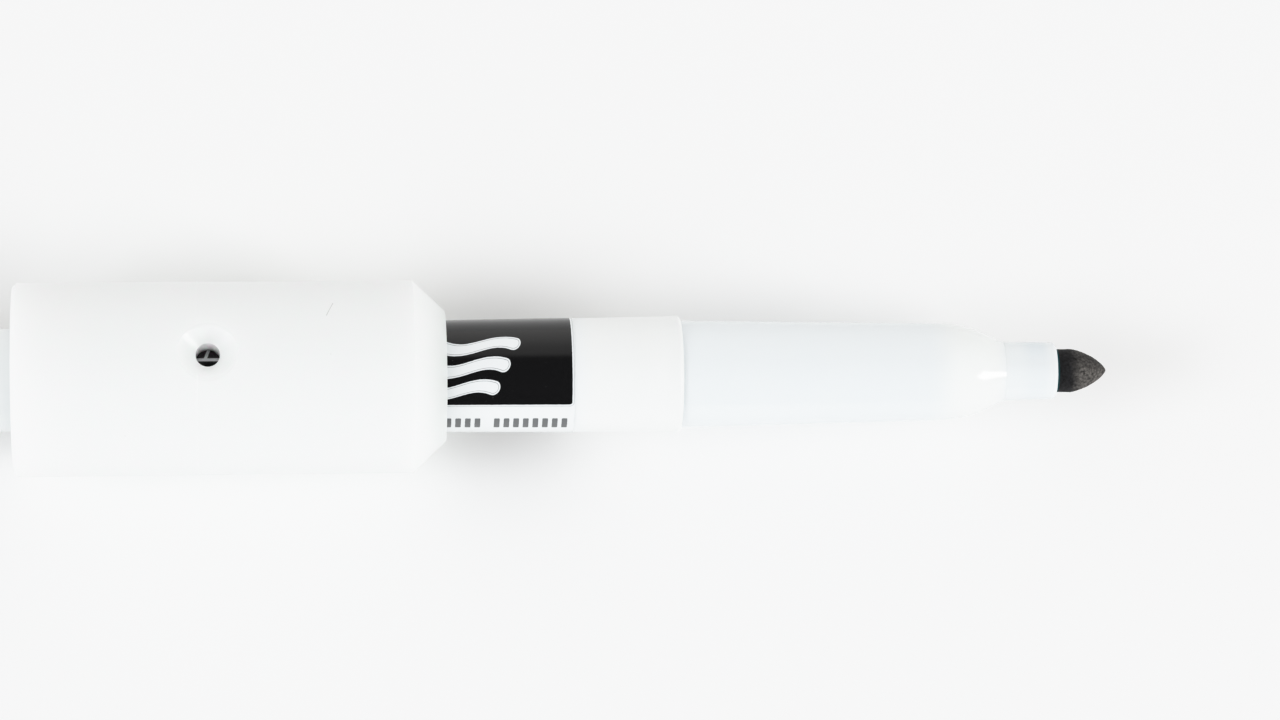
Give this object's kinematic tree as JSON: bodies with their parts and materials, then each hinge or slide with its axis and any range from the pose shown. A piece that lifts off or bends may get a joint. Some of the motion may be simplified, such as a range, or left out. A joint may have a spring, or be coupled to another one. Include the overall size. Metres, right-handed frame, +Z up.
{
  "type": "felt tip marker",
  "caption": "White moulded felt tip marker with a bullet nib, held in a thick turned plastic sleeve with a countersunk cross hole, black cap posted on its tail.",
  "frame": {"origin": "centre of the object's length and width, on the surface that the sleeve lies on", "axes": "+X along the marker towards the nib, +Z up through the sleeve's countersunk hole"},
  "size_m": [0.1628, 0.019, 0.019],
  "materials": {
    "barrel_plastic": "moulded white polypropylene, satin gloss",
    "nose_plastic": "moulded bluish-white polypropylene, satin gloss",
    "nib_fibre": "bonded acrylic fibre soaked in black ink",
    "reservoir_fibre": "polyester fibre soaked in black ink",
    "film": "thin clear film",
    "black_plastic": "moulded black polypropylene",
    "label_ink": "black and white print under satin varnish",
    "sleeve_plastic": "turned natural polyethylene or acetal rod, milky, fine tool lines",
    "liner_plastic": "soft natural polyethylene"
  },
  "bodies": {
    "marker": {"barrel": "barrel_plastic", "front_section": "nose_plastic", "nib": "nib_fibre", "reservoir_core": "reservoir_fibre", "reservoir_film": "film", "tail_plug": "black_plastic", "printed_label": "label_ink"},
    "sleeve": {"adapter_sleeve": "sleeve_plastic"},
    "cap": {"cap_shell": "black_plastic", "cap_liner": "liner_plastic"}
  },
  "joints": [
    {"name": "sleeve_slide", "type": "slide", "parent": "marker", "child": "sleeve", "axis": [1, 0, 0], "range_m": [-0.0076, 0.0212]},
    {"name": "cap_pull", "type": "slide", "parent": "marker", "child": "cap", "axis": [-1, 0, 0], "range_m": [0, 0.03]}
  ]
}
